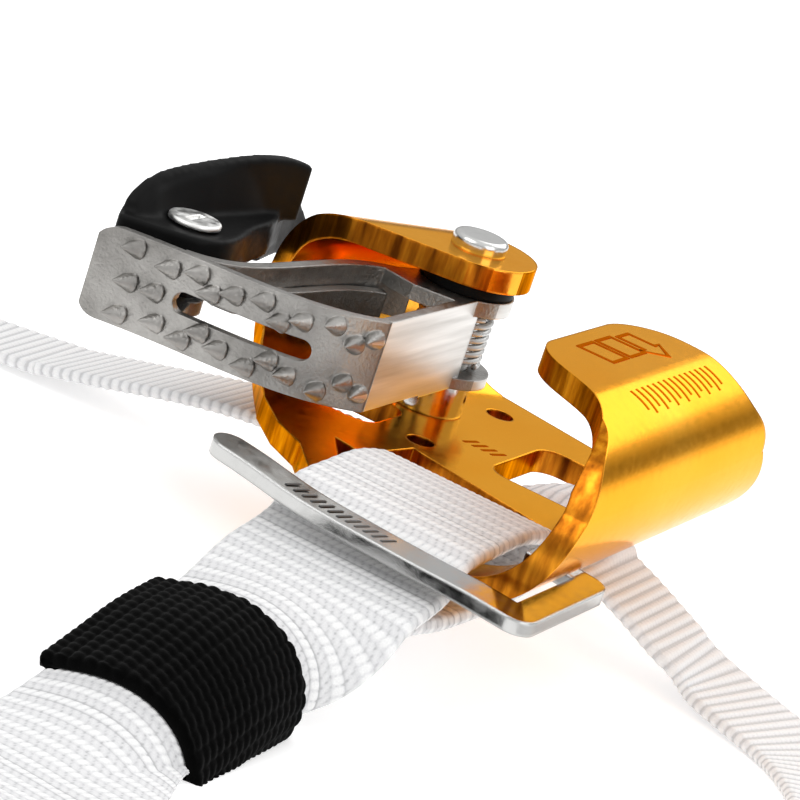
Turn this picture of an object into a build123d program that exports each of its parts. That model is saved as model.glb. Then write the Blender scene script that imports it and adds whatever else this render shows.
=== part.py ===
from build123d import *
import math
import os

os.makedirs("parts", exist_ok=True)

# ---------------------------------------------------------------- dimensions, mm
# X: from the ear towards the rope channel, Y: along the rope, Z: along the cam's rivet.
# Heights h are measured from the underside of the plate, which stands BASE above the ground.
BASE = 12.0
# The frame's origin is below the middle of the whole object; the cam's rivet stands here.
RIVET_X, RIVET_Y = -3.0, 60.56

SHEET = 3.0                 # sheet thickness of the bent frame
FRAME_H = 24.0              # height over the ear and over the lip
LIP_X = 21.5                # free edge of the channel's lip
CROWN_X, CROWN_R = 32.0, 9.5    # channel bend, upper quarter, outside radius
ROOT_X, ROOT_R = 27.0, 14.5     # channel bend, lower quarter, outside radius
EAR_TURN = 30.0             # the ear's bend line is turned this much from Y
EAR_R = 12.0                # ear bend, outside radius
EAR_START = 3.85            # the bend begins this far from the rivet
EAR_BOSS_R = 7.6
PIN_HOLE_R = 1.75           # two accessory holes
PIN_HOLES = ((6.4, 8.7), (6.4, -13.3))

RIVET_R = 2.5               # the rivet that the cam turns on
RIVET_HEAD_R, RIVET_HEAD_H = 3.5, 1.7
RIVET_FOOT_R, RIVET_FOOT_H = 3.2, 0.8
SLEEVE_R = 3.4
SPACER_R = 4.6
WASHER_R, WASHER_T = 6.0, 1.4

CAM_LOW, CAM_TOP = 7.6, 19.2
CAM_WALL = 1.3
LUG_R = 6.2
LUG_LOW_T, LUG_TOP_T = 1.4, 2.0
END_X, END_NEAR, END_FAR = 4.1, -27.6, -2.1     # flat end wall of the cam
SLOT_L, SLOT_H = 17.4, 2.7
TOOTH_R, TOOTH_H = 1.35, 2.6
SPRING_R, SPRING_WIRE = 4.4, 0.75

CATCH_X, CATCH_Y = -24.0, -27.3     # catch pivot, in the cam's open position
CATCH_LOW, CATCH_TOP = 15.0, 19.8
CATCH_PIN_R = 1.5
CATCH_HEAD_R, CATCH_HEAD_H = 3.25, 0.6
SHELF_LOW, SHELF_TOP = 9.6, 11.4

BAR_NEAR, BAR_FAR = -55.8, -51.2    # buckle bar, near and far edges
BAR_T = 1.7
BAR_END = 2.2                           # middle of the round finger end

STRAP_LEFT, STRAP_RIGHT = 7.3, 31.3     # ankle strap
STRAP_T = 1.9
KEEPER_T, KEEPER_GAP = 1.2, 0.2
TAPE_W, TAPE_T = 14.5, 1.6              # foot tape
TAPE_Y = -9.6                           # the tape's middle line under the plate
LOOP_X, LOOP_WIDTH, LOOP_LENGTH, LOOP_CORNER = 3.0, 164.0, 135.0, 45.0
FIT = 0.03                              # radial clearance of a turning fit
LOOSE = 0.3                             # clearance between pieces that only lie together

# ---------------------------------------------------------------- helpers


def place(x, y, h, **directions):
    """A plane at x, y from the rivet and h above the underside of the plate."""
    return Plane(origin=(RIVET_X + x, RIVET_Y + y, BASE + h), **directions)


def level(h):
    """A horizontal plane h above the underside of the plate."""
    return place(0, 0, h)


FRONT = place(0, 0, 0, x_dir=(1, 0, 0), z_dir=(0, -1, 0))
SIDE = place(0, 0, 0, x_dir=(0, 1, 0), z_dir=(1, 0, 0))
turn = math.radians(EAR_TURN)
EAR = place(0, 0, 0, x_dir=(math.cos(turn), -math.sin(turn), 0), z_dir=(-math.sin(turn), -math.cos(turn), 0))


# ---------------------------------------------------------------- frame
# One sheet: the ear bends over the cam, the plate carries both, the channel bends round the rope.
# The lower half is cut to the plate's outline, the upper halves to the ear's and the lip's.
with BuildPart() as ear_bend:
    with BuildSketch(EAR):
        with BuildLine():
            Line((10, 0), (-EAR_START, 0))
            RadiusArc((-EAR_START, 0), (-EAR_START, FRAME_H), EAR_R)
            Line((-EAR_START, FRAME_H), (10, FRAME_H))
            Line((10, FRAME_H), (10, FRAME_H - SHEET))
            Line((10, FRAME_H - SHEET), (-EAR_START, FRAME_H - SHEET))
            RadiusArc((-EAR_START, FRAME_H - SHEET), (-EAR_START, SHEET), -(EAR_R - SHEET))
            Line((-EAR_START, SHEET), (10, SHEET))
            Line((10, SHEET), (10, 0))
        make_face()
    extrude(amount=40, both=True)

with BuildPart() as ear_outline:
    with BuildSketch(level(12)):
        with BuildLine():
            Polyline((2.6, -7.2), (-5, -9.0), (-12.3, -10.6), (-17.5, -9.8), (-23.5, -6.9))
            Spline((-23.5, -6.9), (-25, 2), (-13.6, 9.2), (-6.5, 8.4), (-0.5, 7.6))
            Polyline((-0.5, 7.6), (2.6, 7.2), (2.6, -7.2))
        make_face()
        Circle(EAR_BOSS_R)
    extrude(amount=14)
    with BuildSketch(level(-1)):
        with BuildLine():
            Polyline((11, -29), (-5, -29.1), (-10.2, -23.6), (-15.4, -16.0), (-19, -11.2), (-23.5, -6.9))
            Spline((-23.5, -6.9), (-25, 2), (-13.6, 9.2))
            Polyline((-13.6, 9.2), (-6, 16), (3, 16), (11, 6), (11, -29))
        make_face()
    extrude(amount=13)

with BuildPart() as ear:
    add(ear_bend.part)
    add(ear_outline.part, mode=Mode.INTERSECT)

with BuildPart() as channel_bend:
    with BuildSketch(FRONT):
        with BuildLine():
            Line((-16, 0), (ROOT_X, 0))
            RadiusArc((ROOT_X, 0), (ROOT_X + ROOT_R, ROOT_R), -ROOT_R)
            RadiusArc((ROOT_X + ROOT_R, ROOT_R), (CROWN_X, FRAME_H), -CROWN_R)
            Line((CROWN_X, FRAME_H), (LIP_X, FRAME_H))
            Line((LIP_X, FRAME_H), (LIP_X, FRAME_H - SHEET))
            Line((LIP_X, FRAME_H - SHEET), (CROWN_X, FRAME_H - SHEET))
            RadiusArc((CROWN_X, FRAME_H - SHEET), (CROWN_X + CROWN_R - SHEET, ROOT_R), CROWN_R - SHEET)
            RadiusArc((ROOT_X + ROOT_R - SHEET, ROOT_R), (ROOT_X, SHEET), ROOT_R - SHEET)
            Line((ROOT_X, SHEET), (-16, SHEET))
            Line((-16, SHEET), (-16, 0))
        make_face()
    extrude(amount=70, both=True)

with BuildPart() as channel_outline:
    # upper half, seen from above
    with BuildSketch(level(ROOT_R)):
        with BuildLine():
            Line((LIP_X, -7.6), (LIP_X, -23.0))
            Spline((LIP_X, -23.0), (22.2, -25.6), (24.6, -28.6), (31.1, -33.0), (35.2, -37.2), (37.4, -42.0),
                   (38.2, -48.0))
            Line((38.2, -48.0), (42.5, -48.0))
            Line((42.5, -48.0), (42.5, 4.6))
            Spline((42.5, 4.6), (41.3, 3.6), (39.4, 0.3), (36.5, -1.2), (31.2, -0.3), (26.5, -0.2), (23.4, -2.4),
                   (LIP_X, -7.6))
        make_face()
    extrude(amount=12)
    with BuildSketch(SIDE.offset(ROOT_X)):
        with BuildLine():
            Spline((-37.6, FRAME_H + 1), (-38.6, 23.0), (-43.0, 20.4), (-45.8, 17.2), (-47.2, ROOT_R))
            Line((-47.2, ROOT_R), (-60, ROOT_R))
            Line((-60, ROOT_R), (-60, FRAME_H + 1))
            Line((-60, FRAME_H + 1), (-37.6, FRAME_H + 1))
        make_face()
    extrude(amount=20, mode=Mode.SUBTRACT)
    # lower half of the channel, seen from the side
    with BuildSketch(SIDE.offset(ROOT_X)):
        with BuildLine():
            Spline((-47.2, ROOT_R), (-49.2, 9.5), (-48.8, 4.0), (-48.0, 0.0), (-48.0, -1.0))
            Line((-48.0, -1.0), (10.4, -1.0))
            Spline((10.4, -1.0), (10.4, 1.5), (10.0, 6.0), (7.6, 10.5), (4.2, ROOT_R))
            Line((4.2, ROOT_R), (-47.2, ROOT_R))
        make_face()
    extrude(amount=16)
    # plate, seen from above
    with BuildSketch(level(-1)):
        with BuildLine():
            Polyline((ROOT_X, 10.4), (16.4, 13.0), (0.5, 16.8))
            Spline((0.5, 16.8), (-4.5, 15.8), (-8.5, 11.6), (-10.5, 5))
            Polyline((-10.5, 5), (-10.5, -23.3), (-5.0, -29.1), (0.1, -32.4), (7.1, -41.3))
            Spline((7.1, -41.3), (9.5, -45.4), (15.5, -48.0), tangents=((0.6, -0.8), (1, 0)))
            Polyline((15.5, -48.0), (ROOT_X, -48.0), (ROOT_X, 10.4))
        make_face()
    extrude(amount=6)

with BuildPart() as frame:
    add(channel_bend.part)
    add(channel_outline.part, mode=Mode.INTERSECT)
    add(ear.part)
    # strap window, with its notch beside the left leg and its end running up the channel
    with BuildSketch(level(-1)) as window:
        with BuildLine():
            Polyline((7.3, -16.7), (5.3, -26.2), (0.9, -25.2), (5.9, -32.8), (12.5, -42.0), (38.0, -42.0),
                     (38.0, -23.2), (28.7, -21.9), (8.5, -17.2), (7.3, -16.7))
        make_face()
        fillet(window.vertices().sort_by(Axis.X)[-2:], 3.5)
    extrude(amount=12, mode=Mode.SUBTRACT)
    # tape holes
    with BuildSketch(level(-1)) as tape_holes:
        with Locations((24.5, -3.5)):
            Rectangle(19, 17)
        with Locations((-5.4, -11.2)):
            Rectangle(12, 10.6)
        fillet(tape_holes.vertices(), 2.8)
    extrude(amount=6, mode=Mode.SUBTRACT)
    with BuildSketch(level(-1)):
        with Locations(*PIN_HOLES):
            Circle(PIN_HOLE_R)
        Circle(RIVET_R + FIT)
    extrude(amount=30, mode=Mode.SUBTRACT)
frame.part.label = "frame"
export_step(frame.part, "parts/frame.step")

# ---------------------------------------------------------------- cam on its rivet
with BuildPart() as cam_rivet:
    with BuildSketch(level(-RIVET_FOOT_H)):
        Circle(RIVET_FOOT_R)
    extrude(amount=RIVET_FOOT_H)
    with BuildSketch(level(0)):
        Circle(RIVET_R)
    extrude(amount=FRAME_H)
    with BuildSketch(level(FRAME_H)):
        Circle(RIVET_HEAD_R)
    extrude(amount=RIVET_HEAD_H)
    fillet(cam_rivet.edges().group_by(Axis.Z)[-1], 0.7)
    fillet(cam_rivet.edges().group_by(Axis.Z)[0], 0.35)
cam_rivet.part.label = "cam_rivet"
export_step(cam_rivet.part, "parts/cam_rivet.step")

with BuildPart() as cam_sleeve:
    with BuildSketch(level(SHEET + FIT)):
        Circle(SLEEVE_R)
        Circle(RIVET_R + FIT, mode=Mode.SUBTRACT)
    extrude(amount=FRAME_H - 2 * SHEET - 2 * FIT)
cam_sleeve.part.label = "cam_sleeve"
export_step(cam_sleeve.part, "parts/cam_sleeve.step")

with BuildPart() as lower_spacer:
    with BuildSketch(level(SHEET + FIT)):
        Circle(SPACER_R)
        Circle(SLEEVE_R + FIT, mode=Mode.SUBTRACT)
    extrude(amount=CAM_LOW - SHEET - 4 * FIT)
lower_spacer.part.label = "lower_spacer"
export_step(lower_spacer.part, "parts/lower_spacer.step")

with BuildPart() as upper_washer:
    with BuildSketch(level(CAM_TOP + 3 * FIT)):
        Circle(WASHER_R)
        Circle(SLEEVE_R + FIT, mode=Mode.SUBTRACT)
    extrude(amount=WASHER_T)
upper_washer.part.label = "upper_washer"
export_step(upper_washer.part, "parts/upper_washer.step")

# The cam is a thin-walled casting: a toothed face, a flat end wall, a lower back wall, and lugs.
with BuildPart() as cam:
    with BuildSketch(level(CAM_LOW + 0.3)):
        with BuildLine() as face_line:
            Spline((3.6, -27.2), (-4.8, -33.5), (-13.3, -35.4), (-21.6, -36.7), (-29.3, -38.9))
        trace(line_width=CAM_WALL)
        with BuildLine():
            Line((END_X - CAM_WALL / 2, END_NEAR + 0.5), (END_X - CAM_WALL / 2, END_FAR))
        trace(line_width=CAM_WALL)
    extrude(amount=CAM_TOP - CAM_LOW - 0.3)
    # rounded corners of the nose
    for corner, side in ((CAM_LOW + 0.3, 1), (CAM_TOP, -1)):
        with BuildSketch(FRONT):
            with BuildLine():
                Line((-32, corner - side), (-26.9, corner - side))
                Line((-26.9, corner - side), (-26.9, corner))
                Spline((-26.9, corner), (-28.3, corner + side * 0.45), (-29.35, corner + side * 2.2))
                Line((-29.35, corner + side * 2.2), (-32, corner + side * 2.2))
                Line((-32, corner + side * 2.2), (-32, corner - side))
            make_face()
        extrude(amount=41, mode=Mode.SUBTRACT)
    # back wall, open underneath
    with BuildSketch(level(13.4)):
        with BuildLine():
            Spline((-19.5, -36.0), (-15.6, -33.4), (-12.4, -24.5), (-11.0, -16.0), (-8.0, -7.8), (-4.4, -5.0))
        trace(line_width=1.5)
    extrude(amount=CAM_TOP - 13.4)
    # rib behind the toothed face, and the inside step of the back wall
    with BuildSketch(level(13.4)):
        with BuildLine():
            Spline((-17.5, -34.2), (-13.6, -31.0), (-10.6, -23.5), (-9.2, -15.5), (-6.2, -8.6))
        trace(line_width=1.4)
    extrude(amount=3.2)
    # upper and lower lugs round the rivet
    with BuildSketch(level(CAM_TOP - LUG_TOP_T)):
        Circle(LUG_R)
        with BuildLine():
            Polyline((END_X, -8), (END_X, END_FAR), (-5.6, -2.6), (-8.0, -8.0), (-2.5, -9.5), (END_X, -8))
        make_face()
    extrude(amount=LUG_TOP_T)
    with BuildSketch(level(CAM_LOW)):
        Circle(LUG_R)
        with BuildLine():
            Polyline((END_X, -13), (END_X, END_FAR), (-5.6, -2.6), (-4.0, -8.0), (END_X, -13))
        make_face()
    extrude(amount=LUG_LOW_T)
    # shelf that carries the catch, joined to the nose
    with BuildSketch(level(SHELF_LOW)):
        with BuildLine():
            Polyline((-28.6, -38.5), (-18.0, -35.9), (-20.2, -29.5), (-28.0, -27.0), (-28.4, -33.0), (-28.6, -38.5))
        make_face()
        with Locations((CATCH_X, CATCH_Y)):
            Circle(3.8)
    extrude(amount=SHELF_TOP - SHELF_LOW)
    # room for the spring, then the bore and the catch rivet's hole
    with BuildSketch(level(CAM_LOW + LUG_LOW_T)):
        Circle(SPRING_R + 0.7)
    extrude(amount=CAM_TOP - CAM_LOW - LUG_LOW_T - LUG_TOP_T, mode=Mode.SUBTRACT)
    with BuildSketch(level(CAM_LOW)):
        Circle(SLEEVE_R + FIT)
        with Locations((CATCH_X, CATCH_Y)):
            Circle(CATCH_PIN_R + FIT)
    extrude(amount=CAM_TOP, mode=Mode.SUBTRACT)
    # mud slot through the toothed face
    with BuildSketch(place(-10.3, -34.7, 13.5, x_dir=(0.985, 0.17, 0), z_dir=(0.17, -0.985, 0))):
        SlotOverall(SLOT_L, SLOT_H)
    extrude(amount=3.2, both=True, mode=Mode.SUBTRACT)
    # teeth in pairs of rows above and below the slot: first along the face, pitch, count, height
    rows = (
        (3.3, 8.6, 3, 2.4), (1.2, 8.3, 4, 3.4), (5.9, 8.3, 4, 4.1), (27.2, 3.4, 2, 0),
    )
    face = face_line.wire()
    for first, pitch, count, rise in rows:
        for k in range(count):
            for side in (1, -1) if rise else (1,):
                along = (first + k * pitch) / face.length
                ahead = face % along
                outward = Vector(-ahead.Y, ahead.X, 0)
                foot = face @ along + outward * 0.3 + Vector(RIVET_X, RIVET_Y, BASE + 13.5 + side * rise)
                with Locations(Plane(origin=foot, z_dir=outward + ahead * 0.8)):
                    Cone(TOOTH_R, 0.12, TOOTH_H, align=(Align.CENTER, Align.CENTER, Align.MIN))
cam.part.label = "cam"
export_step(cam.part, "parts/cam.step")

# Torsion spring round the sleeve, with one leg along the end wall.
with BuildPart() as cam_spring:
    with BuildLine(level(CAM_LOW + LUG_LOW_T + 0.9)) as spring_line:
        Helix(pitch=0.92, height=6.4, radius=SPRING_R)
    with BuildSketch(Plane(spring_line.line @ 0, z_dir=spring_line.line % 0)):
        Circle(SPRING_WIRE / 2)
    sweep(is_frenet=True)
cam_spring.part.label = "cam_spring"
export_step(cam_spring.part, "parts/cam_spring.step")

# ---------------------------------------------------------------- catch on the cam
with BuildPart() as catch_rivet:
    with BuildSketch(level(SHELF_LOW - 0.7)):
        with Locations((CATCH_X, CATCH_Y)):
            Circle(2.3)
    extrude(amount=0.7)
    with BuildSketch(level(SHELF_LOW)):
        with Locations((CATCH_X, CATCH_Y)):
            Circle(CATCH_PIN_R)
    extrude(amount=CATCH_TOP + LOOSE - SHELF_LOW)
    with BuildSketch(level(CATCH_TOP + LOOSE)):
        with Locations((CATCH_X, CATCH_Y)):
            Circle(CATCH_HEAD_R)
    extrude(amount=CATCH_HEAD_H)
    fillet(catch_rivet.edges().group_by(Axis.Z)[-1], 0.3)
    with BuildSketch(level(CATCH_TOP + LOOSE + CATCH_HEAD_H - 0.35)):
        with Locations((CATCH_X, CATCH_Y)):
            Rectangle(0.9, 3.4)
    extrude(amount=1, mode=Mode.SUBTRACT)
catch_rivet.part.label = "catch_rivet"
export_step(catch_rivet.part, "parts/catch_rivet.step")

with BuildPart() as catch:
    # body between the nose and the hook end
    with BuildSketch(level(CATCH_LOW)) as catch_body:
        with BuildLine():
            Spline((-29.2, -35.8), (-31.2, -31.0), (-30.8, -24.0), (-28.6, -15.0), (-26.0, -7.0), (-24.2, -4.4))
            Line((-24.2, -4.4), (-23.0, -8.4))
            Spline((-23.0, -8.4), (-21.3, -13.0), (-20.6, -18.5), (-19.2, -23.5), (-19.0, -29.0), (-22.0, -32.6))
            Line((-22.0, -32.6), (-29.2, -35.8))
        make_face()
    extrude(amount=CATCH_TOP - CATCH_LOW)
    # finger fin along the outside, rising to the hook end
    with BuildSketch(level(CATCH_TOP - 1)):
        with BuildLine():
            Spline((-29.6, -33.4), (-29.6, -28.5), (-28.0, -21.5), (-25.6, -13.5), (-23.6, -7.4), (-22.6, -5.0))
        trace(line_width=1.7)
    extrude(amount=9)
    with BuildSketch(SIDE.offset(-40)):
        with BuildLine():
            Line((-36, 28), (-36, 19.6))
            Spline((-36, 19.6), (-34, 20.8), (-30, 23.2), (-23, 25.2), (-15.5, 26.5), (-6.5, 26.5), (-3, 25.2))
            Line((-3, 25.2), (-3, 28))
            Line((-3, 28), (-36, 28))
        make_face()
    extrude(amount=30, mode=Mode.SUBTRACT)
    # hook end, lying outside the ear while the cam is held open
    with BuildSketch(level(13.0)) as hook:
        with BuildLine():
            Spline((-23.6, -9.0), (-24.3, -5.0), (-24.8, -1.0), (-24.6, 3.6))
            Line((-24.6, 3.6), (-26.6, 4.0))
            Spline((-26.6, 4.0), (-27.2, -1.0), (-26.8, -6.0), (-25.8, -10.0))
            Line((-25.8, -10.0), (-23.6, -9.0))
        make_face()
    extrude(amount=12)
    with BuildSketch(SIDE.offset(-40)):
        with BuildLine():
            Polyline((-4.6, 28.0), (-4.6, 25.6), (-2.0, 22.6), (1.4, 19.0), (6.0, 14.6), (6.0, 28.0), (-4.6, 28.0))
        make_face()
    extrude(amount=30, mode=Mode.SUBTRACT)
    # hub down to the shelf, hollow for the catch spring
    with BuildSketch(level(SHELF_TOP + LOOSE)):
        with Locations((CATCH_X, CATCH_Y)):
            Circle(3.9)
    extrude(amount=CATCH_LOW - SHELF_TOP - LOOSE)
    with BuildSketch(level(SHELF_TOP + LOOSE)):
        with Locations((CATCH_X, CATCH_Y)):
            Circle(3.1)
    extrude(amount=CATCH_LOW - SHELF_TOP - LOOSE - 0.2, mode=Mode.SUBTRACT)
    with BuildSketch(level(SHELF_TOP)):
        with Locations((CATCH_X, CATCH_Y)):
            Circle(CATCH_PIN_R + FIT)
    extrude(amount=20, mode=Mode.SUBTRACT)
catch.part.label = "catch"
export_step(catch.part, "parts/catch.step")

with BuildPart() as catch_spring:
    with BuildLine(place(CATCH_X, CATCH_Y, SHELF_TOP + 0.7)) as catch_coil:
        Helix(pitch=0.7, height=2.3, radius=2.4)
    with BuildSketch(Plane(catch_coil.line @ 0, z_dir=catch_coil.line % 0)):
        Circle(0.24)
    sweep(is_frenet=True)
catch_spring.part.label = "catch_spring"
export_step(catch_spring.part, "parts/catch_spring.step")

# ---------------------------------------------------------------- buckle bar
# A flat steel bar with a finger end; its other end hooks round the channel's near leg.
with BuildPart() as buckle_bar:
    with BuildSketch(level(-2)) as bar_plan:
        with BuildLine():
            Polyline((BAR_END, BAR_NEAR), (42.0, BAR_NEAR), (42.0, -33.6), (32.2, -33.6), (32.2, -36.8),
                     (38.4, -36.8), (38.4, BAR_FAR), (BAR_END, BAR_FAR), (BAR_END, BAR_NEAR))
        make_face()
        fillet(bar_plan.vertices().group_by(Axis.X)[-1], 2.6)
        with Locations((BAR_END, (BAR_NEAR + BAR_FAR) / 2)):
            Circle((BAR_FAR - BAR_NEAR) / 2)
    extrude(amount=14)
    with BuildSketch(FRONT):
        with BuildLine():
            Spline((-4.0, 6.9), (1.0, 6.6), (6.0, 6.0), (11.0, 5.2), (19.0, 4.6), (30.0, 4.2), (34.0, 4.1),
                   (37.0, 3.9), (40.0, 3.7), (44.0, 3.6))
        trace(line_width=BAR_T)
    extrude(amount=60, mode=Mode.INTERSECT)
buckle_bar.part.label = "buckle_bar"
export_step(buckle_bar.part, "parts/buckle_bar.step")

# ---------------------------------------------------------------- straps
# The ankle strap loops round the frame's lower bar, goes under the buckle bar and through the keeper.
with BuildPart() as ankle_strap:
    with BuildSketch(SIDE.offset(STRAP_LEFT)):
        with BuildLine():
            Spline((-70.0, -8.0), (-58.0, -5.9), (-48.0, -3.4), (-38.0, -2.4), (-27.0, -2.1),
                   tangents=((1, 0.1), (1, 0)))
            RadiusArc((-27.0, -2.1), (-27.0, 3.9), -3.0)
            Spline((-27.0, 3.9), (-35.0, 5.3), (-41.5, 5.1), (-46.0, 4.9), (-48.6, 4.3), (-49.9, 3.0), (-50.9, 1.6),
                   (-53.6, 0.5), (-58.0, -0.9),
                   (-70.0, -4.3), (-79.0, -5.6), (-86.0, -7.7), (-92.0, -9.5), (-99.0, -10.9), (-107.0, -11.0),
                   tangents=((-1, 0), (-1, 0)))
            Spline((-107.0, -11.0), (-114.0, -10.7), (-120.0, -9.4), (-126.0, -9.25), (-132.0, -9.3), (-138.0, -9.3),
                   tangents=((-1, 0), (-1, 0)))
        trace(line_width=STRAP_T)
    extrude(amount=STRAP_RIGHT - STRAP_LEFT)
ankle_strap.part.label = "ankle_strap"
export_step(ankle_strap.part, "parts/ankle_strap.step")

with BuildPart() as strap_keeper:
    with BuildSketch(SIDE.offset(STRAP_LEFT - KEEPER_T - KEEPER_GAP)):
        with BuildLine():
            Spline((-72.5, -4.6), (-79.0, -5.6), (-86.0, -7.7), (-92.0, -9.5))
        trace(line_width=STRAP_T + 2 * (KEEPER_T + KEEPER_GAP))
    extrude(amount=STRAP_RIGHT - STRAP_LEFT + 2 * (KEEPER_T + KEEPER_GAP))
    with BuildSketch(SIDE.offset(STRAP_LEFT - KEEPER_GAP)):
        with BuildLine():
            Spline((-71.8, -4.5), (-79.0, -5.6), (-86.0, -7.7), (-92.8, -9.7))
        trace(line_width=STRAP_T + 2 * KEEPER_GAP)
    extrude(amount=STRAP_RIGHT - STRAP_LEFT + 2 * KEEPER_GAP, mode=Mode.SUBTRACT)
strap_keeper.part.label = "strap_keeper"
export_step(strap_keeper.part, "parts/strap_keeper.step")

# The foot tape is one loop: under the plate, down to the ground, and round under the strap's end.
GROUND = -BASE + TAPE_T / 2 + 0.02
with BuildPart() as foot_tape:
    with BuildSketch(FRONT.offset(-TAPE_Y)):
        with BuildLine():
            Spline((-58.0, GROUND), (-45.5, -10.0), (-35.0, -7.3), (-25.0, -4.8), (-16.0, -3.1), (-5.0, -2.1),
                   (8.0, -1.6), (24.0, -1.4), (31.5, -2.0), (37.0, -3.9), (44.0, -7.0), (50.5, -10.1), (60.0, GROUND),
                   tangents=((1, 0), (1, 0)))
        trace(line_width=TAPE_T)
    extrude(amount=TAPE_W / 2, both=True)
    with BuildSketch(level(-BASE + 0.02)):
        with Locations((LOOP_X, TAPE_Y - (LOOP_LENGTH - TAPE_W) / 2)):
            RectangleRounded(LOOP_WIDTH, LOOP_LENGTH, LOOP_CORNER)
            RectangleRounded(LOOP_WIDTH - 2 * TAPE_W, LOOP_LENGTH - 2 * TAPE_W, LOOP_CORNER - TAPE_W,
                             mode=Mode.SUBTRACT)
        with Locations((LOOP_X - 2, TAPE_Y)):
            Rectangle(104.0, 2 * TAPE_W, mode=Mode.SUBTRACT)
    extrude(amount=TAPE_T)
foot_tape.part.label = "foot_tape"
export_step(foot_tape.part, "parts/foot_tape.step")

with BuildPart() as strap_stitching:
    with BuildSketch(level(-9.2 + STRAP_T / 2)):
        with Locations((19.3, -126.5), (19.3, -134.5)):
            Rectangle(17.0, 2.0)
    extrude(amount=0.35)
strap_stitching.part.label = "strap_stitching"
export_step(strap_stitching.part, "parts/strap_stitching.step")
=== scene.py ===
import math

import bpy
import numpy as np
from mathutils import Matrix, Vector


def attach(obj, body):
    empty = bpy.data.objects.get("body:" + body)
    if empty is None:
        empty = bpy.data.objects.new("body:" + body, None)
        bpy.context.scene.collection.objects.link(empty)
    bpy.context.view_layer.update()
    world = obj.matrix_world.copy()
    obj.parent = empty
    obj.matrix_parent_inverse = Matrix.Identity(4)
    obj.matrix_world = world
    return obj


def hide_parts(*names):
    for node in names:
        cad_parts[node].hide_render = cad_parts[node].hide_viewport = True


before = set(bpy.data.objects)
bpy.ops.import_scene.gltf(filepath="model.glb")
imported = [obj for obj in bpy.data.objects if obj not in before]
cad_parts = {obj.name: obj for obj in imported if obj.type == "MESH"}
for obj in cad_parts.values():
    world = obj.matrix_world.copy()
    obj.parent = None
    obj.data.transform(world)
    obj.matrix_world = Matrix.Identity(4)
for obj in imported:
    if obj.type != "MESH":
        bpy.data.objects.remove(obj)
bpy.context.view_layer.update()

# ---------------------------------------------------------------- places and sizes, in mm
# Places are counted from the cam's rivet. x: towards the rope channel, y: along the rope,
# h: height over the underside of the plate.
MM = 0.001
RIVET_X, RIVET_Y, BASE = -3.0, 60.56, 12.0      # where x, y and h start, in the shared frame
SHEET, FRAME_H = 3.0, 24.0                      # thickness of the frame's sheet, and its full height
CROWN_X, CROWN_R, CROWN_H = 32.0, 9.5, 14.5     # upper bend of the rope channel
EAR_TURN = math.radians(30)                     # direction of the ear's bend line
LOWEST = -BASE + 0.03                           # no soft piece goes lower than this
GROUND = -BASE + 0.06                           # the strap's underside rests at this height

STRAP_MID, STRAP_W, STRAP_T = 19.3, 23.6, 1.8
KEEPER_NEAR, KEEPER_FAR, KEEPER_T = -91.5, -71.5, 1.25
TAPE_Y, TAPE_W, TAPE_T = -9.6, 14.0, 1.3


def metres(x, y, h):
    """A place given in mm from the rivet, in the shared frame."""
    return Vector((RIVET_X + x, RIVET_Y + y, BASE + h)) * MM


# ---------------------------------------------------------------- camera, lights, floor
VIEW_AZIMUTH, VIEW_ELEVATION, VIEW_ROLL = 23.0, 17.3, 18.5      # degrees
VIEW_BACK, VIEW_RIGHT, VIEW_UP = 402.0, -9.56, -18.52           # mm from the top of the rivet's axis
SENSOR, LENS = 36, 148.5
AIM = (0, -20, 10)                                              # where the lights point
SKY_STRENGTH = 0.72
SKY = ((0.0, 0.9), (0.05, 0.5), (0.14, 0.38), (0.24, 0.95), (0.5, 1.0), (0.75, 1.25))
FLOOR_HALF = 3.0                                                # metres
FLOOR_GREY, FLOOR_GLOW = 0.93, 0.34


def add_camera():
    azimuth, elevation, roll = (math.radians(a) for a in (VIEW_AZIMUTH, VIEW_ELEVATION, VIEW_ROLL))
    back = Vector((math.sin(azimuth) * math.cos(elevation),
                   -math.cos(azimuth) * math.cos(elevation),
                   math.sin(elevation)))
    level_right = Vector((math.cos(azimuth), math.sin(azimuth), 0))
    level_up = back.cross(level_right)
    right = math.cos(roll) * level_right + math.sin(roll) * level_up
    up = back.cross(right)
    shift = VIEW_BACK * back + VIEW_RIGHT * right + VIEW_UP * up
    place = metres(0, 0, FRAME_H) + shift * MM
    data = bpy.data.cameras.new("camera")
    data.sensor_width = SENSOR
    data.lens = LENS
    data.clip_start = 0.01
    camera = bpy.data.objects.new("camera", data)
    turn = Matrix((right, up, back)).transposed().to_4x4()
    camera.matrix_world = Matrix.Translation(place) @ turn
    bpy.context.collection.objects.link(camera)
    bpy.context.scene.camera = camera


def add_light(name, x, y, h, size, power):
    """A square soft light at x, y, h that faces the frame."""
    data = bpy.data.lights.new(name, "AREA")
    data.size = size
    data.energy = power
    light = bpy.data.objects.new(name, data)
    light.location = metres(x, y, h)
    light.rotation_euler = (metres(*AIM) - light.location).to_track_quat("-Z", "Y").to_euler()
    bpy.context.collection.objects.link(light)


def add_world():
    """Pale all round, with a dark belt low down, so that metal has something to show."""
    world = bpy.data.worlds.new("studio")
    bpy.context.scene.world = world
    world.use_nodes = True
    tree = world.node_tree
    where = tree.nodes.new("ShaderNodeTexCoord")
    split = tree.nodes.new("ShaderNodeSeparateXYZ")
    tree.links.new(where.outputs["Generated"], split.inputs[0])
    background = tree.nodes["Background"]
    tree.links.new(ramp(tree, split.outputs["Z"], SKY), background.inputs["Color"])
    background.inputs["Strength"].default_value = SKY_STRENGTH


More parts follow.
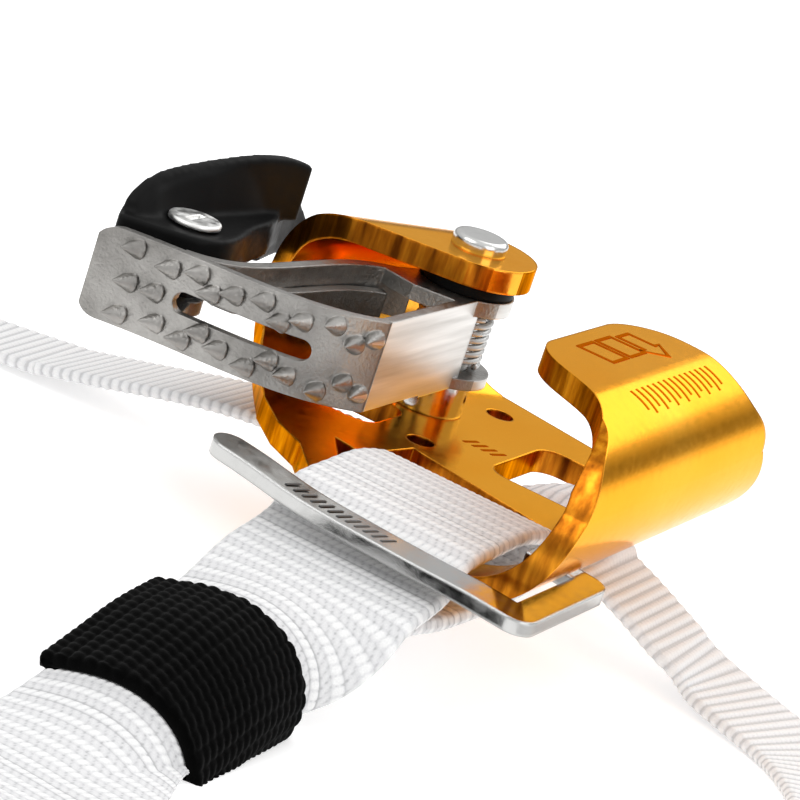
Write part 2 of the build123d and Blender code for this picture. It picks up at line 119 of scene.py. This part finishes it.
def add_floor():
    """A pale floor that glows a little, so that it fades into the background."""
    mesh = bpy.data.meshes.new("floor")
    corners = [(x * FLOOR_HALF, y * FLOOR_HALF, 0) for x, y in ((-1, -1), (1, -1), (1, 1), (-1, 1))]
    mesh.from_pydata(corners, [], [(0, 1, 2, 3)])
    floor = bpy.data.objects.new("floor", mesh)
    bpy.context.collection.objects.link(floor)
    material, _, _ = start_material("floor", (FLOOR_GREY,) * 3, 0.0, 0.9, Specular_IOR_Level=0.1,
                                    Emission_Color=(1, 1, 1, 1), Emission_Strength=FLOOR_GLOW)
    mesh.materials.append(material)


# ---------------------------------------------------------------- materials
# Noise scales are in cycles per metre; relief distances and roundings are in metres.
def start_material(name, colour, metallic, roughness, **inputs):
    """A plain material. inputs: more shader inputs, with _ for each space in their names."""
    material = bpy.data.materials.new(name)
    material.use_nodes = True
    shader = material.node_tree.nodes["Principled BSDF"]
    shader.inputs["Base Color"].default_value = (*colour, 1)
    shader.inputs["Metallic"].default_value = metallic
    shader.inputs["Roughness"].default_value = roughness
    for key, value in inputs.items():
        shader.inputs[key.replace("_", " ")].default_value = value
    return material, material.node_tree, shader


def noise(tree, scale, detail, stretch=(1, 1, 1)):
    """Noise in object space."""
    where = tree.nodes.new("ShaderNodeTexCoord")
    mapping = tree.nodes.new("ShaderNodeMapping")
    mapping.inputs["Scale"].default_value = stretch
    texture = tree.nodes.new("ShaderNodeTexNoise")
    texture.inputs["Scale"].default_value = scale
    texture.inputs["Detail"].default_value = detail
    tree.links.new(where.outputs["Object"], mapping.inputs[0])
    tree.links.new(mapping.outputs[0], texture.inputs["Vector"])
    return texture.outputs["Fac"]


def ramp(tree, value, stops):
    """stops: (position, grey or colour) pairs, in order of position."""
    node = tree.nodes.new("ShaderNodeValToRGB")
    elements = node.color_ramp.elements
    while len(elements) < len(stops):
        elements.new(0.5)
    for element, (position, shade) in zip(elements, stops):
        element.position = position
        element.color = (*shade, 1) if hasattr(shade, "__len__") else (shade, shade, shade, 1)
    tree.links.new(value, node.inputs[0])
    return node.outputs[0]


def add_relief(tree, shader, height, distance, strength, rounding=0.0):
    """Bump from a height, over edges that the shader rounds."""
    bump = tree.nodes.new("ShaderNodeBump")
    bump.inputs["Distance"].default_value = distance
    bump.inputs["Strength"].default_value = strength
    tree.links.new(height, bump.inputs["Height"])
    if rounding:
        bevel = tree.nodes.new("ShaderNodeBevel")
        bevel.samples = 6
        bevel.inputs["Radius"].default_value = rounding
        tree.links.new(bevel.outputs[0], bump.inputs["Normal"])
    tree.links.new(bump.outputs[0], shader.inputs["Normal"])


def gold():
    """Glossy amber anodised aluminium."""
    material, tree, shader = start_material("anodised_gold", (0.93, 0.5, 0.07), 1.0, 0.16,
                                            Specular_Tint=(1, 0.78, 0.46, 1))
    tint = ramp(tree, noise(tree, 60, 3), ((0.3, (0.95, 0.39, 0.035)), (0.7, (0.98, 0.45, 0.055))))
    tree.links.new(tint, shader.inputs["Base Color"])
    rough = ramp(tree, noise(tree, 900, 6), ((0.3, 0.12), (0.75, 0.24)))
    tree.links.new(rough, shader.inputs["Roughness"])
    add_relief(tree, shader, noise(tree, 2600, 4), 0.00002, 0.25, rounding=0.0004)
    return material


def shaded_gold_edge():
    """The sheet's cut edges: the gold darkened as painted shade, with fine streaks across the thickness."""
    material, tree, shader = start_material("anodised_gold_shaded_edge", (0.6, 0.2, 0.02), 1.0, 0.28,
                                            Specular_Tint=(1, 0.6, 0.15, 1))
    streaks = noise(tree, 700, 5, stretch=(1, 1, 0.15))
    # painted shade: the edges' gold is darker than the faces' all through; the streaks across it are the
    # edges' own marks
    tint = ramp(tree, streaks, ((0.3, (0.14, 0.035, 0.003)),
                                (0.5, (0.46, 0.14, 0.008)),
                                (0.72, (0.82, 0.32, 0.02))))
    tree.links.new(tint, shader.inputs["Base Color"])
    add_relief(tree, shader, streaks, 0.00008, 0.6, rounding=0.0004)
    return material


def cast_steel():
    """Blasted casting."""
    material, tree, shader = start_material("cast_steel", (0.5, 0.48, 0.46), 1.0, 0.4)
    tint = ramp(tree, noise(tree, 150, 4), ((0.3, (0.22, 0.212, 0.2)), (0.7, (0.4, 0.388, 0.37))))
    tree.links.new(tint, shader.inputs["Base Color"])
    rough = ramp(tree, noise(tree, 1500, 5), ((0.3, 0.28), (0.7, 0.46)))
    tree.links.new(rough, shader.inputs["Roughness"])
    add_relief(tree, shader, noise(tree, 2600, 3), 0.00012, 0.8, rounding=0.0003)
    return material


def brushed_steel():
    """The cam's ground end wall."""
    material, tree, shader = start_material("brushed_steel", (0.68, 0.66, 0.64), 1.0, 0.34,
                                            Anisotropic=0.5)
    lines = noise(tree, 700, 5, stretch=(1, 0.06, 1))
    tint = ramp(tree, lines, ((0.3, (0.5, 0.49, 0.47)), (0.7, (0.76, 0.75, 0.73))))
    tree.links.new(tint, shader.inputs["Base Color"])
    add_relief(tree, shader, lines, 0.00003, 0.5, rounding=0.0003)
    return material


def polished_steel(name, roughness, shade):
    material, tree, shader = start_material(name, (shade, shade, shade * 0.98), 1.0, roughness)
    rough = ramp(tree, noise(tree, 700, 6), ((0.35, roughness * 0.7), (0.8, roughness * 1.8)))
    tree.links.new(rough, shader.inputs["Roughness"])
    add_relief(tree, shader, noise(tree, 2400, 4), 0.00002, 0.3, rounding=0.0005)
    return material


def black_plastic():
    """Moulded nylon, nearly matt."""
    material, tree, shader = start_material("black_nylon", (0.006, 0.006, 0.006), 0.0, 0.42,
                                            Specular_IOR_Level=0.07)
    rough = ramp(tree, noise(tree, 500, 4), ((0.3, 0.36), (0.7, 0.5)))
    tree.links.new(rough, shader.inputs["Roughness"])
    add_relief(tree, shader, noise(tree, 4200, 3), 0.00004, 0.35, rounding=0.0007)
    return material


def yarn(name, crease, low, high, sheen, roughness=0.7):
    """Woven yarn with fine fibres: painted shade darkens the creases of the weave and takes their gloss
    away, while the crests stay light and glossy.
    """
    material, tree, shader = start_material(name, high, 0.0, roughness, Sheen_Weight=sheen)
    weave = tree.nodes.new("ShaderNodeAttribute")
    weave.attribute_name = "weave"
    # painted shade: the colour falls to the crease colour in the creases, and the gloss falls with it
    tint = ramp(tree, weave.outputs["Fac"], ((0.02, crease), (0.3, low), (0.75, high)))
    fibres = ramp(tree, noise(tree, 5200, 3), ((0.3, 0.9), (0.7, 1.0)))
    gloss = ramp(tree, weave.outputs["Fac"], ((0.1, 0.0), (0.9, 0.38)))
    tree.links.new(gloss, shader.inputs["Specular IOR Level"])
    mix = tree.nodes.new("ShaderNodeVectorMath")
    mix.operation = "MULTIPLY"
    tree.links.new(tint, mix.inputs[0])
    tree.links.new(fibres, mix.inputs[1])
    tree.links.new(mix.outputs[0], shader.inputs["Base Color"])
    add_relief(tree, shader, noise(tree, 9000, 3), 0.00003, 0.4)
    return material


# ---------------------------------------------------------------- meshes
def new_piece(name, points, faces, material, body, smooth=True, weave=None):
    """A piece that rides on a body. weave: for each point, how far it stands out of the weave, which the
    yarn turns into painted shade in the creases.
    """
    mesh = bpy.data.meshes.new(name)
    mesh.from_pydata([tuple(p) for p in points], [], faces)
    mesh.materials.append(material)
    mesh.polygons.foreach_set("use_smooth", [smooth] * len(mesh.polygons))
    if weave is not None:
        mesh.attributes.new("weave", "FLOAT", "POINT").data.foreach_set("value", weave)
    mesh.validate()
    mesh.update()
    piece = bpy.data.objects.new(name, mesh)
    bpy.context.collection.objects.link(piece)
    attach(piece, body)
    return piece


def smooth_line(points, step):
    """Points a step apart along a Catmull-Rom curve through the given ones, and how far on each is."""
    samples = 24
    points = np.array(points, float)
    padded = np.vstack([2 * points[0] - points[1], points, 2 * points[-1] - points[-2]])
    dense = []
    for a, b, c, d in zip(padded, padded[1:], padded[2:], padded[3:]):
        t = np.linspace(0, 1, samples, endpoint=False)[:, None]
        dense.append(0.5 * (2 * b + (c - a) * t + (2 * a - 5 * b + 4 * c - d) * t ** 2
                            + (3 * b - a - 3 * c + d) * t ** 3))
    dense = np.vstack(dense + [points[-1:]])
    run = path_run(dense)
    at = np.linspace(0, run[-1], max(2, int(round(run[-1] / step)) + 1))
    return np.stack([np.interp(at, run, dense[:, k]) for k in range(3)], axis=1), at


def path_run(points):
    """How far along its path each point is."""
    return np.concatenate([[0], np.cumsum(np.linalg.norm(np.diff(points, axis=0), axis=1))])


def unit(vectors):
    """The same vector, or rows of vectors, at length 1."""
    return vectors / np.linalg.norm(vectors, axis=-1, keepdims=True)


def ease(t):
    """0 below 0, 1 above 1, smooth between."""
    t = np.clip(t, 0, 1)
    return t * t * (3 - 2 * t)


def ring_faces(rows, columns, closed_rows):
    """Quads of a grid whose columns close on themselves."""
    faces = []
    last = rows if closed_rows else rows - 1
    for i in range(last):
        a, b = i * columns, ((i + 1) % rows) * columns
        faces += [(a + j, a + (j + 1) % columns, b + (j + 1) % columns, b + j)
                  for j in range(columns)]
    if not closed_rows:
        faces.append(tuple(range(columns))[::-1])
        faces.append(tuple((rows - 1) * columns + j for j in range(columns)))
    return faces


def above_ground(points):
    """Rows of points in mm from the rivet, moved to the shared frame and kept off the ground."""
    points[:, 2] = np.maximum(points[:, 2], LOWEST)
    return (points + (RIVET_X, RIVET_Y, BASE)) * MM


def band(name, centre, along, across_at, thickness, relief, material, closed=False):
    """A woven band on the frame.

    centre: points along the middle, and along: how far on each is.
    across_at(i): offsets, normals and distances over the width, at point i.
    relief(distance, along): how high the weave stands, and its painted shade.
    """
    grid, crests = [], []
    for i in range(len(centre)):
        offsets, normals, distance = across_at(i)
        half = distance[-1] / 2
        edge = np.clip((half - np.abs(distance - half)) / (thickness * 0.5), 0, 1)
        body_half = thickness / 2 * np.sqrt(1 - (1 - edge) ** 2)
        height, shade = relief(distance, along[i])
        rise = normals * (body_half + height * (0.4 + 0.6 * edge))[:, None]
        middle = centre[i] + offsets
        grid.append(np.vstack([middle + rise, (middle - rise)[::-1]]))
        crests += [shade, shade[::-1]]
    faces = ring_faces(len(grid), len(grid[0]), closed)
    return new_piece(name, above_ground(np.vstack(grid)), faces, material, "frame_body",
                     weave=np.concatenate(crests))


# ---------------------------------------------------------------- weaves
# Each takes the distance over the width and the distance along, in mm,
# and gives the height over the band's surface and the painted shade, 0 in a crease and 1 on a crest.
def herringbone(x, y):
    """Rows of slanted stitches; every second row leans the other way and lies deeper."""
    pitch, slant, depth = 1.18, 0.55, 0.17
    row = y / pitch
    part = row - np.floor(row)
    deep = np.floor(row) % 2
    lean = np.where(deep > 0, -slant, slant)
    stitch = np.abs(np.sin(np.pi * (x + lean * part + 0.5 * deep)))
    crest = stitch ** 0.6 * np.sin(np.pi * part) ** 0.5
    level = np.where(deep > 0, 0.42, 1.0)
    return depth * crest * level, (crest * level) ** 0.8


def ribbed(x, y):
    """Puffed cross bands, each made of fine yarns."""
    pitch, yarn_pitch = 1.45, 0.8
    swell = 1 - np.abs(np.cos(np.pi * y / pitch)) ** 2.2
    yarns = np.abs(np.sin(np.pi * (x / yarn_pitch + 0.5 * y / pitch)))
    height = 0.17 * swell + 0.06 * yarns * swell
    return height, np.clip(swell * (0.45 + 0.55 * yarns), 0, 1)


def knitted(x, y):
    """Columns of coarse knots, each knot slanted. Height only."""
    pitch, knot_pitch, depth = 1.65, 1.2, 0.4
    column = x / pitch
    part = column - np.floor(column)
    shift = 0.31 * np.floor(column)
    knot = np.abs(np.sin(np.pi * (y / knot_pitch + shift + 0.5 * part)))
    return depth * (np.sin(np.pi * part) ** 0.55 * (0.2 + 0.8 * knot ** 0.6))


# ---------------------------------------------------------------- strap, keeper, tape, stitching
# The strap's middle as (y, h), from its hidden end under the plate, round the fold, to the sewn end.
STRAP_PATH = (
    (-60.0, -2.7), (-57.0, -2.5), (-53.0, -2.5), (-47.0, -2.9), (-38.0, -2.4), (-30.0, -2.2),
    (-25.6, -1.4), (-24.0, 0.9), (-25.4, 3.2), (-29.5, 4.5), (-35.0, 5.3), (-41.5, 5.1),
    (-46.0, 4.9), (-48.6, 4.3), (-49.9, 3.0), (-50.9, 1.6), (-53.6, 0.6), (-58.0, -0.3),
    (-70.0, -2.6), (-79.0, -3.9), (-86.0, -5.9), (-92.0, -7.7), (-99.0, -9.9), (-107.0, -10.95),
    (-114.0, -10.6), (-120.0, -9.5), (-126.0, -9.3), (-132.0, -9.3), (-138.0, -9.3),
)
KEEPER_PATH = slice(17, 23)     # the part of it that the keeper is on


def arch_amount(y):
    """How far the strap is rolled at a place along it: 0 flat, 1 rolled."""
    return float(ease((-58.0 - y) / 13.0) * ease((y + 114.0) / 26.0))


def strap_section(y, step):
    """The strap's cross-section at y: distances over the width, offsets from the path, and slopes.

    Where it is rolled, it rises a little at first and then falls steeply to the right.
    """
    first_slope, fall, sharpness = 20, 144, 2.3     # the slopes in degrees
    rolled_left, rolled_drop = -11.2, -2.1
    amount = arch_amount(y)
    distance = np.linspace(0, STRAP_W, int(STRAP_W / step) + 1)
    slope = amount * np.radians(first_slope - fall * (distance / STRAP_W) ** sharpness)
    run = np.diff(distance, prepend=0)
    x = -STRAP_W / 2 * (1 - amount) + rolled_left * amount + np.cumsum(np.cos(slope) * run)
    z = rolled_drop * amount + np.cumsum(np.sin(slope) * run)
    return distance, np.stack([x, np.zeros(len(x)), z], axis=1), slope


def strap_normals(slope, tangent):
    """Normals of a cross-section with these slopes, on a path with that tangent."""
    across = np.stack([np.cos(slope), np.zeros(len(slope)), np.sin(slope)], axis=1)
    return unit(np.cross(across, np.repeat(tangent[None], len(slope), 0)))


def add_strap(material):
    """The ankle strap: two layers at the plate, one from the fold's end to the foot tape."""
    step = 0.24
    lower_start, lower_run = -40, 14        # where the lower layer starts to narrow, and over what length
    narrowing, shift = 0.09, 0.5
    tape_edge = -112                        # past this, the strap lies on the foot tape
    centre, along = smooth_line([(STRAP_MID, y, h) for y, h in STRAP_PATH], step)
    tangent = np.gradient(centre, axis=0)
    turn = np.argmax(centre[:, 1])          # the lower layer comes before the fold's far end

    def across(i):
        y, h = centre[i, 1], centre[i, 2]
        distance, offsets, slope = strap_section(y, step)
        if i < turn:
            inward = np.clip((lower_start - y) / lower_run, 0, 1)
            offsets[:, 0] = offsets[:, 0] * (1 - narrowing * inward) - shift * inward
        if y > tape_edge:
            offsets[:, 2] = np.maximum(offsets[:, 2], GROUND + STRAP_T / 2 - h)
        return offsets, strap_normals(slope, tangent[i]), distance

    strap = band("ankle_strap_webbing", centre, along, across, STRAP_T, herringbone, material)
    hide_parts("ankle_strap")
    return strap, along[-1] * MM


def half_turn(start, tangent, count):
    """Directions between start and its opposite, round the strap's edge."""
    side = unit(np.cross(start, tangent))
    turns = [math.pi * (k + 1) / (count + 1) for k in range(count)]
    return [start * math.cos(turn) + side * math.sin(turn) for turn in turns]


def add_keeper(material):
    """A knitted ring round the strap, swept along it."""
    step = 0.22
    gap = STRAP_T / 2 + 0.3                 # from the strap's middle to the ring's inner face
    corner_points = 7                       # round each edge of the strap
    hem, edge = 0.15, 0.7                   # thickness at the ring's ends, and the length of their rounding
    full = KEEPER_T - 0.35                  # thickness added away from the ends
    centre, along = smooth_line([(STRAP_MID, y, h) for y, h in STRAP_PATH[KEEPER_PATH]], step)
    inside = (centre[:, 1] <= KEEPER_FAR) & (centre[:, 1] >= KEEPER_NEAR)
    centre, along = centre[inside], along[inside]
    tangent = np.gradient(centre, axis=0)
    outer, inner = [], []
    for i in range(len(centre)):
        _, offsets, slope = strap_section(centre[i, 1], step)
        normals = strap_normals(slope, tangent[i])
        base = centre[i] + offsets
        out = np.vstack([normals, half_turn(normals[-1], tangent[i], corner_points),
                         -normals[::-1], half_turn(-normals[0], tangent[i], corner_points)])
        loop = np.vstack([base, [base[-1]] * corner_points,
                          base[::-1], [base[0]] * corner_points]) + out * gap
        end = min(along[i] - along[0], along[-1] - along[i])
        rounding = math.sqrt(max(0.0, 1 - (1 - min(1, end / edge)) ** 2))
        thick = hem + (full + knitted(path_run(loop), along[i])) * rounding
        inner.append(loop)
        outer.append(loop + out * thick[:, None])
    rings = outer + inner[::-1]
    points = above_ground(np.vstack(rings))
    # black all over: every point has the crease's painted shade, and no gloss
    keeper = new_piece("strap_keeper_knit", points, ring_faces(len(rings), len(rings[0]), True),
                       material, "frame_body", weave=np.zeros(len(points)))
    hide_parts("strap_keeper")
    return keeper


def add_tape(material):
    """The foot tape: under the plate, down to the ground on both sides, and round in one loop."""
    step = 0.3
    spacing = 13.0                          # of the points that the curve goes through
    ground = -BASE + TAPE_T / 2 + 0.2
    points = [(-45.5, TAPE_Y, -9.8), (-35.0, TAPE_Y, -7.3), (-25.0, TAPE_Y, -4.8),
              (-16.0, TAPE_Y, -3.1), (-5.0, TAPE_Y, -2.1), (8.0, TAPE_Y, -1.7),
              (24.0, TAPE_Y, -1.5), (31.5, TAPE_Y, -2.1), (37.0, TAPE_Y, -3.9),
              (44.0, TAPE_Y, -7.0), (51.0, TAPE_Y - 0.2, -9.9)]
    left, right, far, near = -71.75, 77.75, TAPE_Y, TAPE_Y - 120.5
    corners = ((right, far, 30.0, 60, 0), (right, near, 37.75, 0, -90),
               (left, near, 37.75, -90, -180), (left, far, 20.0, 180, 110))
    for x, y, radius, first, last in corners:
        mid_x = x - math.copysign(radius, x)
        mid_y = y - radius if y == far else y + radius
        for angle in np.radians(np.linspace(first, last, 5)):
            points.append((mid_x + radius * math.cos(angle), mid_y + radius * math.sin(angle), ground))
    points.append(points[0])
    even = []
    for start, end in zip(points, points[1:]):
        count = max(1, round(math.dist(start, end) / spacing))
        even += [np.array(start) + (np.array(end) - start) * (k / count) for k in range(count)]
    centre, along = smooth_line(even + [points[-1]], step)
    centre, along = centre[:-1], along[:-1]
    course = unit((np.roll(centre, -1, axis=0) - np.roll(centre, 1, axis=0)) * (1, 1, 0))
    side = np.stack([-course[:, 1], course[:, 0], course[:, 0] * 0], axis=1)
    normal = unit(np.cross(side, np.gradient(centre, axis=0)))
    distance = np.linspace(0, TAPE_W, int(TAPE_W / step) + 1)
    hole_left, hole_right = 15.5, 33.5      # the plate's big hole
    hole_edge, hole_rise = -2.6, 4.5        # where over the width the bulge starts, and how fast it rises
    bulge_back, bulge_up = 3.6, 3.0

    def across(i):
        """Flat, but puffed up into the plate's big hole."""
        offsets = (distance - TAPE_W / 2)[:, None] * side[i]
        x, h = centre[i, 0], centre[i, 2]
        if h > -4 and hole_left < x < hole_right:
            swell = math.sin(math.pi * (x - hole_left) / (hole_right - hole_left))
            rise = ease((offsets[:, 1] - hole_edge) / hole_rise) * swell
            offsets = offsets + np.stack([rise * 0, rise * bulge_back, rise * bulge_up], axis=1)
        return offsets, np.repeat(normal[i][None], len(distance), 0), distance

    tape = band("foot_tape_webbing", centre, along, across, TAPE_T, ribbed, material, closed=True)
    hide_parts("foot_tape")
    return tape, along[-1] * MM


def add_stitching(material):
    """Two sewn bars that hold the strap's end on the tape: close stitches side by side."""
    bars, length = (-126.5, -134.5), 2.0            # the bars' y, and the stitches' length
    count, pitch, lean = 30, 0.56, 0.5
    first_x, top = STRAP_MID - 8.2, -8.12
    radius, rings, sides = 0.26, 6, 6
    points, faces = [], []
    for bar_y in bars:
        for k in range(count):
            x = first_x + k * pitch
            first = len(points)
            for u in np.linspace(0, 1, rings):
                half = radius * math.sin(math.pi * (0.08 + 0.84 * u))
                for v in range(sides):
                    angle = 2 * math.pi * v / sides
                    points.append(metres(x + half * math.cos(angle) + lean * u,
                                         bar_y - length / 2 + length * u,
                                         top + 0.5 * half + half * math.sin(angle)))
            faces += [tuple(first + c for c in face) for face in ring_faces(rings, sides, False)]
    # the thread has no weave values, so it takes the crease's painted shade all over, with no gloss
    stitches = new_piece("strap_stitching_thread", points, faces, material, "frame_body")
    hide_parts("strap_stitching")
    return stitches


# ---------------------------------------------------------------- catch
FIN_PATH = ((-29.6, -33.4), (-29.6, -28.5), (-28.0, -21.5), (-25.6, -13.5), (-24.6, -10.0))  # x, y
FIN_TOP = ((-36, 19.6), (-34, 20.8), (-30, 23.2), (-23, 25.2), (-15.5, 26.4), (-6.5, 26.4))  # y, h
FIN_ROOT = ((-34, 1.2), (-31, 2.3), (-27, 1.9), (-21, 2.0), (-14, 0.9), (-10, 0.1))          # y, width
FIN_FOOT = 19.2                                                                              # h
MELT_VOXEL, MELT_ROUNDS = 0.26, 14


def gusset():
    """The thick root of the catch's fin, on its inner side."""
    path, _ = smooth_line([(x, y, 0) for x, y in FIN_PATH], 0.8)
    tangent = unit(np.gradient(path, axis=0))
    points = []
    for (x, y, _), (along_x, along_y, _) in zip(path, tangent):
        top = np.interp(y, *zip(*FIN_TOP)) - 0.5
        wide = np.interp(y, *zip(*FIN_ROOT))
        section = ((-0.4, top), (wide * 0.7, top - 0.15), (wide + 0.9, FIN_FOOT), (-0.4, FIN_FOOT))
        points += [metres(x + along_y * out, y - along_x * out, h) for out, h in section]
    return points, ring_faces(len(path), 4, False)


def apply_modifiers(piece):
    """Keep the mesh as its modifiers make it."""
    evaluated = piece.evaluated_get(bpy.context.evaluated_depsgraph_get())
    mesh = bpy.data.meshes.new_from_object(evaluated)
    piece.modifiers.clear()
    piece.data = mesh


def add_catch(material):
    """The moulded lever: the CAD shape with a thick fin root, all edges melted together."""
    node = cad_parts["catch"]
    points = [node.matrix_world @ v.co for v in node.data.vertices]
    faces = [tuple(face.vertices) for face in node.data.polygons]
    extra, extra_faces = gusset()
    faces += [tuple(len(points) + c for c in face) for face in extra_faces]
    lever = new_piece("catch_moulded", points + extra, faces, material, "catch_body")
    remesh = lever.modifiers.new("melt", "REMESH")
    remesh.mode = "VOXEL"
    remesh.voxel_size = MELT_VOXEL * MM
    smooth = lever.modifiers.new("smooth", "SMOOTH")
    smooth.factor = 0.5
    smooth.iterations = MELT_ROUNDS
    apply_modifiers(lever)
    lever.data.polygons.foreach_set("use_smooth", [True] * len(lever.data.polygons))
    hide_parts("catch")


# ---------------------------------------------------------------- plain marks
MARK_SINK = -0.02       # how deep the strips start under the surface


def strip_corners(thickness):
    """The four corners of a strip's cross-section: (share of its width, height)."""
    return (-0.5, MARK_SINK), (-0.5, thickness), (0.5, thickness), (0.5, MARK_SINK)


def ribbon(points, across, width, lifts, thickness=0.05):
    """A thin raised strip along points on a surface. lifts: the surface's normals there."""
    result = []
    for point, lift in zip(points, lifts):
        for share, height in strip_corners(thickness):
            result.append(np.array(point) + np.array(across) * width * share
                          + np.array(lift) * height)
    return result, ring_faces(len(points), 4, False)


def lip_outline(corners, width=0.5, thickness=0.06):
    """A closed mark on top of the lip, along the given corners."""
    corners = [np.array(c, float) for c in corners]
    points = []
    for before, here, after in zip(corners[-1:] + corners[:-1], corners, corners[1:] + corners[:1]):
        first, second = unit(here - before), unit(after - here)
        out = np.array((first[1] + second[1], -first[0] - second[0]))
        out /= max(0.5, 1 + first.dot(second))
        for share, height in strip_corners(thickness):
            points.append((*(here + out * share * width), FRAME_H + height))
    return points, ring_faces(len(corners), 4, True)


def add_strips(name, strips, material, body):
    points, faces = [], []
    for strip_points, strip_faces in strips:
        faces += [tuple(c + len(points) for c in face) for face in strip_faces]
        points += [metres(*p) for p in strip_points]
    return new_piece(name, points, faces, material, body, smooth=False)


def add_marks(dark_gold, dark_steel):
    """Plain marks where the object has lettering."""
    x_way, up = (1, 0, 0), (0, 0, 1)
    # two panels and an arrow on the lip
    strips = [lip_outline([(24.0, y), (28.6, y), (28.6, y + 4.0), (24.0, y + 4.0)])
              for y in (-20.4, -15.4)]
    strips.append(lip_outline([(24.4, -10.2), (28.0, -10.2), (28.0, -11.4), (30.6, -8.6),
                               (28.0, -5.8), (28.0, -7.0), (24.4, -7.0)]))
    # a row of short ribs over the channel's crown
    for k in range(15):
        y = -27.0 + 1.55 * k
        lifts = [(math.sin(a), 0, math.cos(a))
                 for a in np.radians(np.linspace(12, 34 if k % 2 else 30, 5))]
        line = [(CROWN_X + CROWN_R * lift[0], y, CROWN_H + CROWN_R * lift[2]) for lift in lifts]
        strips.append(ribbon(line, (0, 1, 0), 0.42, lifts))
    # four short ribs on the plate
    for k in range(4):
        line = [(9.0 + 1.3 * k, -6.6, SHEET), (9.9 + 1.3 * k, -4.4, SHEET)]
        strips.append(ribbon(line, x_way, 0.45, [up] * 2))
    add_strips("frame_marks", strips, dark_gold, "frame_body")
    # slanted ribs on the buckle bar
    bar_x, bar_h = (9.0, 13.0, 19.0, 25.0), (6.42, 5.86, 5.47, 5.22)    # the bar's upper side
    ribs = []
    for k in range(12):
        x = 10.2 + 1.15 * k
        h = np.interp(x, bar_x, bar_h)
        line = [(x, -54.6, h - 0.02), (x + 0.7, -52.6, h - 0.06)]
        ribs.append(ribbon(line, x_way, 0.35, [up] * 2, thickness=0.07))
    add_strips("bar_marks", ribs, dark_steel, "bar_body")


# ---------------------------------------------------------------- finishes on the CAD pieces
def repaint(node, *materials):
    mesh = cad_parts[node].data
    mesh.materials.clear()
    for material in materials:
        mesh.materials.append(material)


def soften(node, width):
    """Round the edges of a CAD piece a little."""
    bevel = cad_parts[node].modifiers.new("rounding", "BEVEL")
    bevel.width = width * MM
    bevel.segments = 3
    bevel.limit_method = "ANGLE"
    bevel.angle_limit = math.radians(38)
    bevel.harden_normals = False


def paint_frame(face_material, edge_material):
    """The sheet's cut edges get the streaky gold, darkened as painted shade: on the plate, the channel and
    the ear.
    """
    repaint("frame", face_material, edge_material)
    bend_line = Vector((math.sin(EAR_TURN), math.cos(EAR_TURN), 0))
    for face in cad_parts["frame"].data.polygons:
        x = face.center.x / MM - RIVET_X
        h = face.center.z / MM - BASE
        if h < SHEET + 0.01 and x < 27:
            cut = abs(face.normal.z) < 0.3 and (x > 0 or abs(face.normal.dot(bend_line)) > 0.3)
        elif x > 20:
            cut = abs(face.normal.y) > 0.35
        else:
            cut = abs(face.normal.dot(bend_line)) > 0.3
        face.material_index = int(cut)


def paint_cam(casting, ground):
    """The flat end wall is ground, the rest is as cast."""
    repaint("cam", casting, ground)
    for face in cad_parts["cam"].data.polygons:
        x = face.center.x / MM - RIVET_X
        face.material_index = int(face.normal.x > 0.95 and x > 3.9)


# ---------------------------------------------------------------- build
bpy.context.scene.view_settings.view_transform = "Standard"
add_camera()
add_world()
add_floor()
add_light("key", -160, -260, 330, 0.30, 0.6)
add_light("back", 60, 320, 300, 0.35, 0.6)
add_light("side", 330, -120, 160, 0.25, 0.35)

steel = polished_steel("polished_steel", 0.13, 0.66)
paint_frame(gold(), shaded_gold_edge())
paint_cam(cast_steel(), brushed_steel())
black = black_plastic()
for node in ("cam_rivet", "cam_sleeve", "lower_spacer"):
    repaint(node, steel)
# the bar's steel is darker than the others: painted shade for the dark reflections along the bar
repaint("buckle_bar", polished_steel("bar_steel", 0.15, 0.5))
# the catch rivet's steel is lighter than the others: the satin roughness is its own, the lighter shade a
# painted highlight on its head
repaint("catch_rivet", polished_steel("satin_rivet_painted_light", 0.42, 0.9))
for node in ("cam_spring", "catch_spring"):
    repaint(node, polished_steel(f"{node}_wire", 0.3, 0.5))
repaint("catch", black)
repaint("upper_washer", black)
add_catch(black)

for node, width in (("frame", 0.35), ("cam", 0.3), ("buckle_bar", 0.35)):
    soften(node, width)

# each yarn's first colour is the painted shade of its creases
white_yarn = yarn("white_yarn", (0.42, 0.42, 0.43), (0.7, 0.7, 0.71), (0.86, 0.86, 0.86), 0.1)
black_yarn = yarn("black_yarn", (0.001, 0.001, 0.001), (0.012, 0.012, 0.012), (0.05, 0.05, 0.05), 0.06,
                  roughness=0.5)
tape_yarn = yarn("tape_yarn", (0.56, 0.56, 0.57), (0.78, 0.78, 0.79), (0.86, 0.86, 0.86), 0.1)
strap, strap_length = add_strap(white_yarn)
keeper = add_keeper(black_yarn)
tape, tape_length = add_tape(tape_yarn)
stitches = add_stitching(white_yarn)
dark_gold, _, _ = start_material("marked_gold", (0.5, 0.15, 0.01), 1.0, 0.35,
                                 Specular_Tint=(0.8, 0.4, 0.1, 1))
dark_steel, _, _ = start_material("marked_steel", (0.16, 0.16, 0.16), 1.0, 0.4)
add_marks(dark_gold, dark_steel)
